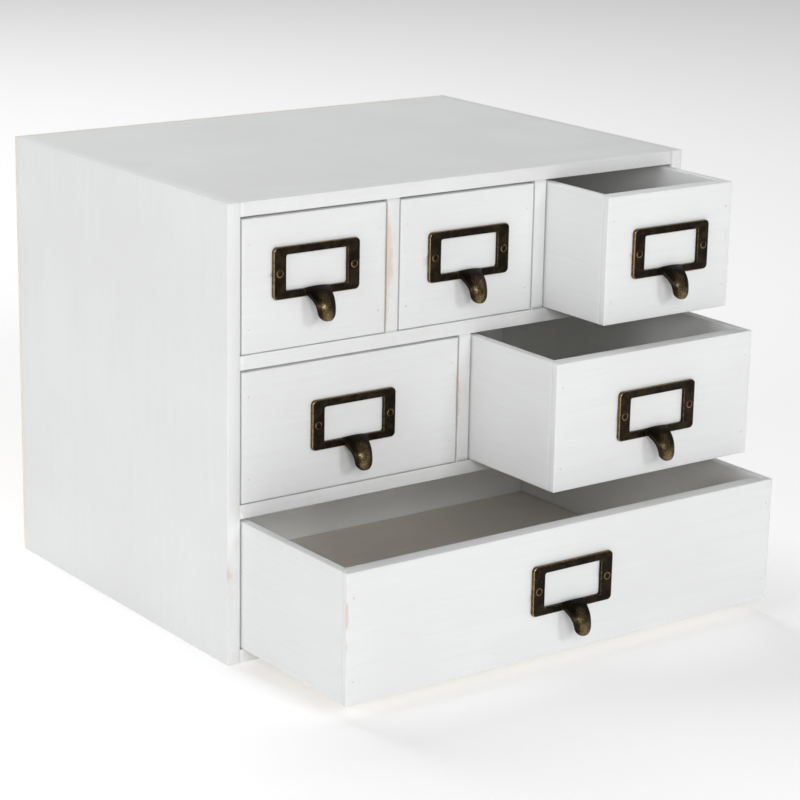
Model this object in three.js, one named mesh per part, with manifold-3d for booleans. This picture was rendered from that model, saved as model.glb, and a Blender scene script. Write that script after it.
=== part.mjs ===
// Desktop apothecary cabinet: a painted wooden carcass with six drawers in three rows.
// Units are millimetres. +Z is up, the drawers open towards -Y, and the origin is the centre of the underside.
// The model stands with three of its drawers part open.

import * as THREE from 'three';
import { mergeVertices } from 'three/addons/utils/BufferGeometryUtils.js';
import Module from 'manifold-3d';

const wasm = await Module();
wasm.setup();

// ---- Driving dimensions ----

// Carcass
const cabinetWidth = 320;
const cabinetDepth = 238; // front edge to the outside of the back panel
const cabinetHeight = 260;
const boardThickness = 8;
const backThickness = 3;
const glueLine = 0.1; // left between two glued faces

// Drawer boxes
const frontThickness = 9;
const lapThickness = 4.5; // the part of the front that laps over the ends of the sides
const sideThickness = 5;
const backBoardThickness = 5;
const bottomThickness = 3;
const bottomRise = 3; // lower edge of the drawer to the underside of its bottom
const grooveDepth = 2;
const grooveClearance = 0.15; // on each side of a bottom in its groove
const sideGap = 1; // drawer to carcass, each side
const topGap = 1.4;
const runningGap = 0.6; // under the drawer
const rearGap = 5; // closed drawer to the back panel

// Label holder: a flat frame and a finger pull, cast in one piece
const holderWidth = 56.5;
const holderHeight = 29;
const holderThickness = 2.2;
const holderCornerRadius = 2.8;
const windowWidth = 40.2;
const windowHeight = 20;
const windowCornerRadius = 1.3;
const pullRootWidth = 16.2;
const pullTipWidth = 11;
const pullRootThickness = 2.7;
const pullTipThickness = 1.3;
const pullCrown = 1.4; // how far the middle of the pull stands above its long edges
const pullSlope = 30; // degrees below level where the pull leaves the rail
const pullReach = 10.8; // how far it stands out
const pullFall = 17.4; // how far its tip lies below its root
const pullSlopeHandle = 10.5; // how long its line keeps to the slope
const pullDropHandle = 9.5; // and to the drop at its tip
const pullSink = 0.8; // root of the pull below the face of the rail
const seatClearance = 0.1; // label holder to the drawer front

// Countersunk screws of the label holder
const screwHeadDiameter = 4.5;
const screwHeadHeight = 1.3;
const screwShankDiameter = 2.2;
const screwLength = 9;
const screwClearance = 0.3; // around the head and shank
const screwInset = 3.9; // holder's outer edge to the screw's axis
const crossLength = 2.6; // recess for the driver
const crossWidth = 0.7;
const crossDepth = 0.8;

// The drawers by row, from the top: how far each stands open, and how far the middle of its
// label holder sits above the middle of its front
const drawerRows = [
  [
    { name: 'top_left', open: 0, holderRise: 5.4 },
    { name: 'top_middle', open: 0, holderRise: 2.1 },
    { name: 'top_right', open: 54, holderRise: 2.5 },
  ],
  [
    { name: 'middle_left', open: 0, holderRise: 0.6 },
    { name: 'middle_right', open: 77, holderRise: 0.3 },
  ],
  [{ name: 'bottom', open: 101, holderRise: 2.5 }],
];

// ---- Sizes that follow ----

const boardDepth = cabinetDepth - backThickness - glueLine;
const innerWidth = cabinetWidth - 2 * boardThickness;
const rowCount = drawerRows.length;
const rowHeight = (cabinetHeight - (rowCount + 1) * boardThickness) / rowCount;
const drawerHeight = rowHeight - topGap - runningGap;
const drawerDepth = boardDepth - rearGap;
const holderFace = -seatClearance - holderThickness; // front face of the frame, from the drawer front

// ---- Materials ----

const paintedWood = new THREE.MeshStandardMaterial({ color: 0xe4e6e4, roughness: 0.62, metalness: 0 });
const paintedPly = new THREE.MeshStandardMaterial({ color: 0xd9d8d3, roughness: 0.75, metalness: 0 });
const agedBrass = new THREE.MeshStandardMaterial({ color: 0x4a3b26, roughness: 0.42, metalness: 0.9 });
const screwSteel = new THREE.MeshStandardMaterial({ color: 0x3f3526, roughness: 0.48, metalness: 0.9 });

// ---- Solids ----

// A closed geometry as a solid that can be joined and cut.
function toSolid(geometry) {
  const bare = geometry.clone();
  bare.deleteAttribute('normal');
  bare.deleteAttribute('uv');
  const merged = mergeVertices(bare, 1e-4);
  return new wasm.Manifold(
    new wasm.Mesh({
      numProp: 3,
      vertProperties: new Float32Array(merged.attributes.position.array),
      triVerts: new Uint32Array(merged.index.array),
    }),
  );
}

function toGeometry(solid) {
  const mesh = solid.getMesh();
  const geometry = new THREE.BufferGeometry();
  geometry.setAttribute('position', new THREE.BufferAttribute(mesh.vertProperties, mesh.numProp));
  geometry.setIndex(new THREE.BufferAttribute(mesh.triVerts, 1));
  geometry.computeVertexNormals();
  return geometry;
}

function cut(geometry, tools) {
  const solid = tools.reduce((left, tool) => left.subtract(toSolid(tool)), toSolid(geometry));
  return toGeometry(solid);
}

// A box from its lowest to its highest corner.
function block(low, high) {
  const size = high.map((value, i) => value - low[i]);
  const middle = high.map((value, i) => (value + low[i]) / 2);
  return new THREE.BoxGeometry(...size).translate(...middle);
}

// A cylinder or cone along Y, from y0 with radius0 to y1 with radius1.
function rod(x, z, y0, radius0, y1, radius1, segments = 10) {
  const geometry = new THREE.CylinderGeometry(radius1, radius0, y1 - y0, segments);
  return geometry.translate(x, (y0 + y1) / 2, z);
}

function roundedRectangle(target, width, height, radius) {
  const x = width / 2 - radius;
  const y = height / 2 - radius;
  target.absarc(x, y, radius, 0, Math.PI / 2);
  target.absarc(-x, y, radius, Math.PI / 2, Math.PI);
  target.absarc(-x, -y, radius, Math.PI, Math.PI * 1.5);
  target.absarc(x, -y, radius, Math.PI * 1.5, Math.PI * 2);
  return target;
}

// ---- Assembly helpers ----

const group = new THREE.Group();

function addPiece(parent, name, geometry, material) {
  const mesh = new THREE.Mesh(geometry, material);
  mesh.name = name;
  parent.add(mesh);
  return mesh;
}

// ---- Carcass ----

// Lower face of the opening of a row, counted from the top.
function rowFloor(row) {
  return boardThickness + (rowCount - 1 - row) * (rowHeight + boardThickness);
}

function openingWidth(row) {
  const count = drawerRows[row].length;
  return (innerWidth - (count - 1) * boardThickness) / count;
}

// Left edge of an opening.
function openingLeft(row, column) {
  return -innerWidth / 2 + column * (openingWidth(row) + boardThickness);
}

function addCarcass() {
  const half = cabinetWidth / 2;
  const carcass = new THREE.Group();
  carcass.position.y = -cabinetDepth / 2;
  group.add(carcass);

  addPiece(
    carcass,
    'side_left',
    block([-half, 0, 0], [-half + boardThickness, boardDepth, cabinetHeight]),
    paintedWood,
  );
  addPiece(
    carcass,
    'side_right',
    block([half - boardThickness, 0, 0], [half, boardDepth, cabinetHeight]),
    paintedWood,
  );
  addPiece(
    carcass,
    'back_panel',
    block([-half, cabinetDepth - backThickness, 0], [half, cabinetDepth, cabinetHeight]),
    paintedPly,
  );

  const reach = innerWidth / 2 - glueLine;
  const levels = {
    bottom_panel: 0,
    shelf_lower: rowFloor(1) - boardThickness,
    shelf_upper: rowFloor(0) - boardThickness,
    top_panel: cabinetHeight - boardThickness,
  };
  for (const [name, level] of Object.entries(levels)) {
    addPiece(
      carcass,
      name,
      block([-reach, 0, level], [reach, boardDepth, level + boardThickness]),
      paintedWood,
    );
  }

  const dividers = { divider_upper_left: [0, 1], divider_upper_right: [0, 2], divider_middle: [1, 1] };
  for (const [name, [row, column]] of Object.entries(dividers)) {
    const right = openingLeft(row, column);
    const floor = rowFloor(row);
    addPiece(
      carcass,
      name,
      block(
        [right - boardThickness, 0, floor + glueLine],
        [right, boardDepth, floor + rowHeight - glueLine],
      ),
      paintedWood,
    );
  }
}

// ---- Drawer box, from the middle of the front's lower edge, with its face at y = 0 ----

function frontGeometry(width, holderMiddle) {
  const half = width / 2;
  const shoulder = half - sideThickness - glueLine;
  const plan = new THREE.Shape([
    new THREE.Vector2(-half, 0),
    new THREE.Vector2(half, 0),
    new THREE.Vector2(half, lapThickness),
    new THREE.Vector2(shoulder, lapThickness),
    new THREE.Vector2(shoulder, frontThickness),
    new THREE.Vector2(-shoulder, frontThickness),
    new THREE.Vector2(-shoulder, lapThickness),
    new THREE.Vector2(-half, lapThickness),
  ]);
  const blank = new THREE.ExtrudeGeometry(plan, { depth: drawerHeight, bevelEnabled: false });
  const groove = block(
    [-half, frontThickness - grooveDepth, bottomRise - grooveClearance],
    [half, frontThickness + 1, bottomRise + bottomThickness + grooveClearance],
  );
  const pilotRadius = screwShankDiameter / 2 + screwClearance;
  const pilotEnd = holderFace + screwLength + screwClearance;
  const pilots = screwPlaces().map((x) => rod(x, holderMiddle, -1, pilotRadius, pilotEnd, pilotRadius));
  return cut(blank, [groove, ...pilots]);
}

// hand is -1 for the left side and 1 for the right side
function sideGeometry(width, hand) {
  const outer = (hand * width) / 2;
  const inner = hand * (width / 2 - sideThickness);
  const grooveFloor = inner + hand * grooveDepth;
  const blank = block(
    [Math.min(outer, inner), lapThickness + glueLine, 0],
    [Math.max(outer, inner), drawerDepth, drawerHeight],
  );
  const grooveMouth = inner - hand;
  const groove = block(
    [Math.min(grooveFloor, grooveMouth), 0, bottomRise - grooveClearance],
    [
      Math.max(grooveFloor, grooveMouth),
      drawerDepth + 1,
      bottomRise + bottomThickness + grooveClearance,
    ],
  );
  return cut(blank, [groove]);
}

// The back stands on the bottom, which slides in under it.
function backGeometry(width) {
  const reach = width / 2 - sideThickness - glueLine;
  return block(
    [-reach, drawerDepth - backBoardThickness, bottomRise + bottomThickness + glueLine],
    [reach, drawerDepth, drawerHeight],
  );
}

function bottomGeometry(width) {
  const reach = width / 2 - sideThickness + grooveDepth - grooveClearance;
  const frontEdge = frontThickness - grooveDepth + grooveClearance;
  return block([-reach, frontEdge, bottomRise], [reach, drawerDepth, bottomRise + bottomThickness]);
}

// ---- Label holder and screws, from the middle of the frame, with the drawer front at y = 0 ----

function screwPlaces() {
  const x = holderWidth / 2 - screwInset;
  return [-x, x];
}

// The line of the pull from root to tip: a curve that leaves the rail at the slope and ends straight down.
function pullLine(t) {
  const slope = THREE.MathUtils.degToRad(pullSlope);
  const line = new THREE.CubicBezierCurve(
    new THREE.Vector2(0, 0),
    new THREE.Vector2(pullSlopeHandle * Math.cos(slope), pullSlopeHandle * Math.sin(slope)),
    new THREE.Vector2(pullReach, pullFall - pullDropHandle),
    new THREE.Vector2(pullReach, pullFall),
  );
  return { place: line.getPoint(t), along: line.getTangent(t) };
}

// The pull's section, extruded straight along its length and then bent: the width and the thickness
// taper along it and the middle is crowned.
function pullGeometry() {
  const steps = 10;
  const across = 6;
  const edge = Array.from({ length: across + 1 }, (_, i) => (i * 2) / across - 1);
  const section = new THREE.Shape([
    ...edge.map((x) => new THREE.Vector2(x, -1)),
    ...edge.toReversed().map((x) => new THREE.Vector2(x, 0)),
  ]);
  const geometry = new THREE.ExtrudeGeometry(section, { depth: 1, steps, bevelEnabled: false });
  const vertices = geometry.attributes.position;
  for (let i = 0; i < vertices.count; i += 1) {
    const across01 = vertices.getX(i);
    const tip = Math.sqrt(Math.max(0, 1 - across01 * across01)); // rounds the end in plan
    const short = ((1 - tip) * pullTipWidth) / 2;
    const t = vertices.getZ(i) * (1 - short / (3 * pullDropHandle));
    const half = THREE.MathUtils.lerp(pullTipWidth, pullRootWidth, (1 - t) ** 1.6) / 2;
    const crown = pullCrown * THREE.MathUtils.lerp(0.55, 1, Math.min(1, 2 * t)) * (1 - across01 * across01);
    const thickness = THREE.MathUtils.lerp(pullRootThickness, pullTipThickness, t);
    const lift = crown + vertices.getY(i) * thickness;
    const { place, along } = pullLine(t);
    vertices.setXYZ(i, across01 * half, -(place.x + lift * along.y), -(place.y - lift * along.x));
  }
  return geometry;
}

function holderGeometry() {
  const outline = roundedRectangle(new THREE.Shape(), holderWidth, holderHeight, holderCornerRadius);
  outline.holes.push(
    roundedRectangle(new THREE.Path(), windowWidth, windowHeight, windowCornerRadius),
  );
  const frame = new THREE.ExtrudeGeometry(outline, {
    depth: holderThickness,
    bevelEnabled: false,
    curveSegments: 4,
  });
  frame.rotateX(Math.PI / 2).translate(0, -seatClearance, 0);

  const pull = pullGeometry().translate(0, holderFace + pullSink, -windowHeight / 2 - pullCrown * 0.1);

  const holeRadius = screwShankDiameter / 2 + screwClearance;
  const sinkRadius = screwHeadDiameter / 2 + screwClearance;
  const sinkFloor = holderFace + screwHeadHeight + screwClearance;
  const holes = screwPlaces().flatMap((x) => [
    rod(x, 0, holderFace - 1, holeRadius, 1, holeRadius),
    rod(x, 0, holderFace, sinkRadius, sinkFloor, holeRadius),
  ]);
  const body = toSolid(frame).add(toSolid(pull));
  return toGeometry(holes.reduce((left, hole) => left.subtract(toSolid(hole)), body));
}

// The screw lies along Y with its head towards -Y.
function screwGeometry() {
  const head = screwHeadDiameter / 2;
  const shank = screwShankDiameter / 2;
  const point = 1.6;
  const dome = 0.25;
  const profile = [
    new THREE.Vector2(0, -dome),
    new THREE.Vector2(head * 0.6, -dome * 0.65),
    new THREE.Vector2(head, 0),
    new THREE.Vector2(shank, screwHeadHeight),
    new THREE.Vector2(shank, screwLength - point),
    new THREE.Vector2(0, screwLength),
  ];
  const blank = new THREE.LatheGeometry(profile, 10);
  const long = crossLength / 2;
  const wide = crossWidth / 2;
  const recess = [
    block([-long, -1, -wide], [long, crossDepth, wide]),
    block([-wide, -1, -long], [wide, crossDepth, long]),
  ];
  return cut(blank, recess).translate(0, holderFace, 0);
}

// ---- Drawers ----

function addDrawer(row, column) {
  const { name, open, holderRise } = drawerRows[row][column];
  const width = openingWidth(row) - 2 * sideGap;
  const holderMiddle = drawerHeight / 2 + holderRise;

  const drawer = new THREE.Group();
  drawer.position.set(
    openingLeft(row, column) + openingWidth(row) / 2,
    -cabinetDepth / 2 - open,
    rowFloor(row) + runningGap,
  );
  group.add(drawer);

  addPiece(drawer, `${name}_front`, frontGeometry(width, holderMiddle), paintedWood);
  addPiece(drawer, `${name}_side_left`, sideGeometry(width, -1), paintedWood);
  addPiece(drawer, `${name}_side_right`, sideGeometry(width, 1), paintedWood);
  addPiece(drawer, `${name}_back`, backGeometry(width), paintedWood);
  addPiece(drawer, `${name}_bottom`, bottomGeometry(width), paintedPly);
  addPiece(drawer, `${name}_label_holder`, holderGeometry(), agedBrass).position.z = holderMiddle;
  const [left, right] = screwPlaces();
  addPiece(drawer, `${name}_screw_left`, screwGeometry(), screwSteel).position.set(left, 0, holderMiddle);
  addPiece(drawer, `${name}_screw_right`, screwGeometry(), screwSteel).position.set(
    right,
    0,
    holderMiddle,
  );
}

addCarcass();
drawerRows.forEach((row, r) => row.forEach((_, c) => addDrawer(r, c)));

export default group;
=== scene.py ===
"""The looks of a painted desktop cabinet with six drawers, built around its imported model.

Every board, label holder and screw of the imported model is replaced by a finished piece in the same
place: boards with eased and slightly worn edges, label holders cast in one piece with their finger
pulls, cross-recess screws, and the brads that hold the drawers and the back together.
"""

import logging
import math
from dataclasses import dataclass, field
from enum import Enum
from random import Random
from typing import Any, Callable, Sequence

import bmesh
import bpy
from mathutils import Matrix, Quaternion, Vector, noise


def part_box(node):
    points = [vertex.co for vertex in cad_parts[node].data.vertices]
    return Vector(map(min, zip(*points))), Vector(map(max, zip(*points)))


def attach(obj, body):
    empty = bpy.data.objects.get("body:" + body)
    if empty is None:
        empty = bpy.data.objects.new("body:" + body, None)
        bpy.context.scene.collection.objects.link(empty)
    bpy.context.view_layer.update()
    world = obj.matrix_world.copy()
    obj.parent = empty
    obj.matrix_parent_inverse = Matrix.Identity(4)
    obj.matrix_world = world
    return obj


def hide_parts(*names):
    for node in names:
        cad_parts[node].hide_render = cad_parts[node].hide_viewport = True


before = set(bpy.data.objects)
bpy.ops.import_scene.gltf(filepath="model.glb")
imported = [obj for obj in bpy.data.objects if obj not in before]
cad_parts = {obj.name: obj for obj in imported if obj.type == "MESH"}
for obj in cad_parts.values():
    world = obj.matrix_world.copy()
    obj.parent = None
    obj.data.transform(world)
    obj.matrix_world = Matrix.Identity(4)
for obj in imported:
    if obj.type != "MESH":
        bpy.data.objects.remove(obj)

MM = 0.001
TINY = 0.02 * MM
WELD = 0.001 * MM
NO_WEAR = 5 * MM  # distance to an edge at which the paint shows no wear
HEAD_PATTERN = 3  # seed of the pattern that all painted brad heads share
log = logging.getLogger("cabinet")


# ---- Named options ----


class Grain(Enum):
    """The axis that a board's grain and the brush strokes run along."""

    X = 0
    Y = 1
    Z = 2


class Slot(Enum):
    """The record's material slots."""

    PAINTED_WOOD = "painted_wood"
    PLYWOOD = "plywood_panel"
    BRASS = "aged_brass"
    SCREW = "screw_brass"


# ---- Node trees ----


class Num:
    """A number in a node tree: arithmetic with it adds Math nodes."""

    def __init__(self, sketch: "Sketch", socket: bpy.types.NodeSocket) -> None:
        """Wraps an output socket of the sketch's tree."""
        self.sketch, self.socket = sketch, socket

    def __add__(self, other: Any) -> "Num":
        """The sum."""
        return self.sketch.math("ADD", self, other)

    def __sub__(self, other: Any) -> "Num":
        """The difference."""
        return self.sketch.math("SUBTRACT", self, other)

    def __rsub__(self, other: float) -> "Num":
        """The difference from a plain number."""
        return self.sketch.math("SUBTRACT", other, self)

    def __mul__(self, other: Any) -> "Num":
        """The product."""
        return self.sketch.math("MULTIPLY", self, other)

    def __truediv__(self, other: Any) -> "Num":
        """The quotient."""
        return self.sketch.math("DIVIDE", self, other)

    def __pow__(self, power: float) -> "Num":
        """The power."""
        return self.sketch.math("POWER", self, power)


class Sketch:
    """Adds nodes to a node tree and links them by the names of their sockets."""

    def __init__(self, tree: bpy.types.NodeTree) -> None:
        """Starts with an empty tree."""
        self.tree = tree
        tree.nodes.clear()

    def add(self, kind: str, inputs: dict[Any, Any] | None = None, **settings: Any) -> bpy.types.Node:
        """Adds one node.

        Args:
            kind: The node's type name.
            inputs: Socket name or number to a value, or to the socket that feeds it.
            settings: The node's own properties.

        Returns:
            The new node.
        """
        node = self.tree.nodes.new(kind)
        for name, value in settings.items():
            setattr(node, name, value)
        for key, value in (inputs or {}).items():
            socket = node.inputs[key]
            value = value.socket if isinstance(value, Num) else value
            if isinstance(value, bpy.types.NodeSocket):
                self.tree.links.new(value, socket)
            else:
                socket.default_value = value
        return node

    def math(self, operation: str, *values: Any) -> Num:
        """Adds a Math node on numbers or sockets in the node's order, and returns its result."""
        node = self.add("ShaderNodeMath", dict(enumerate(values)), operation=operation)
        return Num(self, node.outputs[0])

    def vector(self, operation: str, *values: Any) -> bpy.types.NodeSocket:
        """Adds a Vector Math node on vectors or sockets in the node's order, and returns its vector."""
        return self.add("ShaderNodeVectorMath", dict(enumerate(values)), operation=operation).outputs[0]

    def noise(self, place: Any, scale: float, detail: float = 3.0, roughness: float = 0.5) -> Num:
        """Reads a Noise Texture: cycles per metre, octaves, and how strong the finer ones are."""
        inputs = {"Vector": place, "Scale": scale, "Detail": detail, "Roughness": roughness}
        return Num(self, self.add("ShaderNodeTexNoise", inputs).outputs[0])

    def ramp(self, value: Any, low: float, high: float, to_low: float = 0.0, to_high: float = 1.0) -> Num:
        """Maps low..high smoothly onto to_low..to_high, and holds it there on both sides."""
        inputs = {"Value": value, 1: low, 2: high, 3: to_low, 4: to_high}
        return Num(self, self.add("ShaderNodeMapRange", inputs, interpolation_type="SMOOTHSTEP").outputs[0])

    def mix(self, share: Any, first: Any, second: Any) -> Any:
        """Blends two colours; share is how much of the second there is."""
        node = self.add("ShaderNodeMix", {0: share, 6: first, 7: second}, data_type="RGBA")
        return node.outputs[2]

    def attribute(self, name: str) -> Num:
        """A number that the mesh stores."""
        return Num(self, self.add("ShaderNodeAttribute", attribute_name=name).outputs["Fac"])

    def pattern_place(self) -> Any:
        """Where the patterns are read: the object's own coordinates, moved by the piece's own shift."""
        own = self.add("ShaderNodeTexCoord").outputs["Object"]
        shift = self.add("ShaderNodeAttribute", attribute_name="shift").outputs["Vector"]
        return self.vector("ADD", own, shift)

    def surface(
        self, colour: Any, rough: Any, height: Any, bump: tuple[float, float], **own: float
    ) -> None:
        """Adds the shader with its bump, and the output.

        Args:
            colour: Base colour.
            rough: Roughness.
            height: What the bump reads.
            bump: Its strength, and its distance in metres.
            own: Numbers that are the same all over, with underscores for the spaces in their names.
        """
        strength, distance = bump
        bumped = self.add("ShaderNodeBump", {"Height": height, "Strength": strength, "Distance": distance})
        inputs = {"Base Color": colour, "Roughness": rough, "Normal": bumped.outputs[0]}
        inputs.update({name.replace("_", " "): value for name, value in own.items()})
        shader = self.add("ShaderNodeBsdfPrincipled", inputs)
        self.add("ShaderNodeOutputMaterial", {"Surface": shader.outputs[0]})

    def close(self, geometry: Any, material: Any) -> None:
        """Ends a Geometry Nodes tree with real geometry in one material, both given as sockets."""
        real = self.add("GeometryNodeRealizeInstances", {"Geometry": geometry})
        dressed = self.add("GeometryNodeSetMaterial", {"Geometry": real.outputs[0], "Material": material})
        self.add("NodeGroupOutput", {"Geometry": dressed.outputs[0]})


def new_material(name: str) -> tuple[bpy.types.Material, Sketch]:
    """Starts a material and returns it with its sketch."""
    material = bpy.data.materials.new(name)
    material.use_nodes = True
    return material, Sketch(material.node_tree)


def new_tree(name: str, kinds: dict[str, str]) -> tuple[bpy.types.NodeTree, Sketch, dict[str, Num]]:
    """Starts a Geometry Nodes tree that gives back a geometry.

    Args:
        name: The tree's name.
        kinds: Each input's name and kind of socket.

    Returns:
        The tree, its sketch, and its inputs by name.
    """
    tree = bpy.data.node_groups.new(name, "GeometryNodeTree")
    for label, kind in kinds.items():
        tree.interface.new_socket(label, in_out="INPUT", socket_type=f"NodeSocket{kind}")
    tree.interface.new_socket("Geometry", in_out="OUTPUT", socket_type="NodeSocketGeometry")
    s = Sketch(tree)
    given = s.add("NodeGroupInput").outputs
    return tree, s, {label: Num(s, given[label]) for label in kinds}


# ---- Finishes ----

Colour = tuple[float, float, float, float]


@dataclass(frozen=True)
class PaintedWood:
    """White paint brushed over a close-grained board, thin and rubbed through at its worn edges."""

    grain: Grain
    paint: Colour = (0.826, 0.838, 0.836, 1.0)
    shade: Colour = (0.790, 0.798, 0.793, 1.0)
    pore: Colour = (0.66, 0.64, 0.60, 1.0)
    bare: Colour = (0.60, 0.43, 0.335, 1.0)
    bare_light: Colour = (0.72, 0.56, 0.45, 1.0)
    pore_share: float = 0.16
    thin_share: float = 0.16
    bare_share: float = 0.62
    stretch: float = 0.045
    drift: float = 0.006
    streak_scale: float = 420.0
    pore_scale: float = 1500.0
    relief: float = 0.06 * MM

    def make(self, name: str) -> bpy.types.Material:
        """Builds the material under a name."""
        material, s = new_material(name)
        place = s.pattern_place()
        along = [1.0, 1.0, 1.0]
        along[self.grain.value] = self.stretch
        bend = s.add("ShaderNodeTexNoise", {"Vector": place, "Scale": 9.0, "Detail": 2.0}).outputs["Color"]
        drift = s.vector("MULTIPLY", s.vector("SUBTRACT", bend, (0.5,) * 3), (self.drift,) * 3)
        waved = s.vector("ADD", s.vector("MULTIPLY", place, tuple(along)), drift)
        streaks = s.noise(waved, self.streak_scale, 4.0, 0.62)
        pores = s.noise(waved, self.pore_scale, 3.0, 0.6)
        cloud = s.noise(place, 14.0, 3.0)
        speck = s.noise(place, 2600.0, 2.0)

        # Colour: broad clouds and brush streaks in the paint, and fine pores that hold less of it.
        tone = s.ramp(cloud * 0.55 + streaks * 0.45, 0.36, 0.66)
        painted = s.mix(tone, self.shade, self.paint)
        painted = s.mix(s.ramp(pores, 0.60, 0.72) * self.pore_share, painted, self.pore)

        # Wear: along the edges, most where they are rubbed.
        arris = s.ramp(s.attribute("arris"), 0.25 * MM, 2.6 * MM, 1.0, 0.0)
        ragged = s.noise(place, 230.0, 5.0, 0.68)
        patchy = s.noise(place, 38.0, 2.0)
        worn = arris * (patchy * 0.34 + s.attribute("rub") + ragged * 0.55)
        through = s.ramp(worn, 0.62, 0.86)
        thin = s.ramp(worn, 0.40, 0.75) * self.thin_share
        wood = s.mix(s.ramp(pores, 0.35, 0.65), self.bare, self.bare_light)
        colour = s.mix(s.math("MAXIMUM", through * self.bare_share, thin), painted, wood)

        rough = s.ramp(streaks + through * 0.3, 0.3, 0.8, 0.50, 0.70)
        height = streaks * 0.62 + pores * -0.26 + speck * 0.10 - through * 0.5
        s.surface(colour, rough, height, (0.9, self.relief), Specular_IOR_Level=0.42)
        return material


@dataclass(frozen=True)
class AgedBrass:
    """Cast brass with a dark antique skin that handling has rubbed back on whatever stands proud."""

    skin: Colour = (0.0145, 0.011, 0.008, 1.0)
    warm_skin: Colour = (0.036, 0.026, 0.0155, 1.0)
    brass: Colour = (0.50, 0.36, 0.18, 1.0)
    worn_share: float = 0.75
    relief: float = 0.05 * MM

    def make(self, name: str) -> bpy.types.Material:
        """Builds the material under a name."""
        material, s = new_material(name)
        place = s.pattern_place()
        cloud = s.noise(place, 190.0, 4.0, 0.6)
        grit = s.noise(place, 1500.0, 3.0, 0.6)
        pits = s.noise(place, 720.0, 4.0, 0.65)
        skin = s.mix(s.ramp(cloud, 0.38, 0.68), self.skin, self.warm_skin)
        worn = s.ramp(s.attribute("rub") + (pits * 0.5 + grit * 0.2), 0.62, 1.12)
        colour = s.mix(worn * self.worn_share, skin, self.brass)
        rough = s.ramp(grit - worn * 0.35, 0.1, 0.7, 0.17, 0.40)
        s.surface(colour, rough, pits * 0.7 + grit * 0.3, (0.7, self.relief), Metallic=1.0)
        return material


@dataclass(frozen=True)
class StudioFloor:
    """A plain pale floor that glows faintly, like a lit table."""

    colour: Colour = (0.86, 0.86, 0.86, 1.0)
    glow: float = 0.28

    def make(self, name: str) -> bpy.types.Material:
        """Builds the material under a name."""
        material, s = new_material(name)
        shader = s.add("ShaderNodeBsdfPrincipled", {"Base Color": self.colour, "Roughness": 0.8})
        shader.inputs["Emission Color"].default_value = (1, 1, 1, 1)
        shader.inputs["Emission Strength"].default_value = self.glow
        s.add("ShaderNodeOutputMaterial", {"Surface": shader.outputs[0]})
        return material


@dataclass
class Finishes:
    """The finishes of the cabinet, each made once."""

    wood: dict[Grain, bpy.types.Material] = field(default_factory=dict)
    ply: bpy.types.Material | None = None
    brass: bpy.types.Material | None = None
    screw: bpy.types.Material | None = None

    def make(self) -> "Finishes":
        """Builds every material and returns itself."""
        for grain in Grain:
            self.wood[grain] = PaintedWood(grain).make(f"white_paint_grain_{grain.name.lower()}")
        thin_coat = PaintedWood(Grain.X, paint=(0.87, 0.815, 0.74, 1.0), shade=(0.81, 0.755, 0.68, 1.0))
        self.ply = thin_coat.make("thin_paint_on_plywood")
        self.brass = AgedBrass().make("aged_brass")
        self.screw = AgedBrass(worn_share=0.45).make("aged_screw_brass")
        return self


# ---- Mesh helpers ----


def new_object(name: str, mesh: bpy.types.Mesh) -> bpy.types.Object:
    """Links a mesh into the scene as an object at the origin, and returns the object."""
    piece = bpy.data.objects.new(name, mesh)
    bpy.context.scene.collection.objects.link(piece)
    return piece


def to_mesh(bm: bmesh.types.BMesh, name: str) -> bpy.types.Mesh:
    """Turns a BMesh into a mesh, which it returns, and frees it."""
    mesh = bpy.data.meshes.new(name)
    bm.to_mesh(mesh)
    bm.free()
    return mesh


def evaluated(piece: bpy.types.Object) -> bpy.types.Mesh:
    """The mesh that an object's modifiers make, as a new plain mesh."""
    graph = bpy.context.evaluated_depsgraph_get()
    graph.update()
    return bpy.data.meshes.new_from_object(piece.evaluated_get(graph), depsgraph=graph)


def grow(start: bpy.types.Mesh, tree: bpy.types.NodeTree, given: dict[str, Any]) -> bpy.types.Mesh:
    """Runs a Geometry Nodes tree.

    Args:
        start: The mesh that it starts from.
        tree: The tree.
        given: Its inputs by name.

    Returns:
        What it makes, as a plain mesh.
    """
    carrier = new_object(f"{start.name}_carrier", start)
    modifier = carrier.modifiers.new("grow", "NODES")
    modifier.node_group = tree
    for key, value in given.items():
        modifier[tree.interface.items_tree[key].identifier] = value
    mesh = evaluated(carrier)
    bpy.data.objects.remove(carrier)
    return mesh


def carve(body: bpy.types.Object, tool: bpy.types.Object) -> None:
    """Cuts one object's shape out of another and removes the tool.

    Args:
        body: What is cut. Its mesh becomes the result.
        tool: What it is cut with.
    """
    cutter = body.modifiers.new("carve", "BOOLEAN")
    cutter.operation, cutter.solver, cutter.object = "DIFFERENCE", "EXACT", tool
    body.data = evaluated(body)
    body.modifiers.clear()
    bpy.data.objects.remove(tool)


def bridge(bm: bmesh.types.BMesh, rows: Sequence[Sequence[bmesh.types.BMVert]]) -> None:
    """Joins each ring of vertices to the next by faces.

    Args:
        bm: The BMesh.
        rows: The rings, all of one length.
    """
    count = len(rows[0])
    for first, second in zip(rows, rows[1:]):
        for i in range(count):
            j = (i + 1) % count
            bm.faces.new((first[i], second[i], second[j], first[j]))


def turned_rings(
    bm: bmesh.types.BMesh, profile: Sequence[tuple[float, float]], segments: int
) -> list[list[bmesh.types.BMVert]]:
    """Turns a profile round Z.

    Args:
        bm: The BMesh that gets the faces.
        profile: Radius and height of each ring.
        segments: Vertices in a ring.

    Returns:
        The rings.
    """
    rows = []
    for radius, height in profile:
        angles = [math.tau * i / segments for i in range(segments)]
        rows.append([bm.verts.new((radius * math.cos(a), radius * math.sin(a), height)) for a in angles])
    bridge(bm, rows)
    return rows


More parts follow.
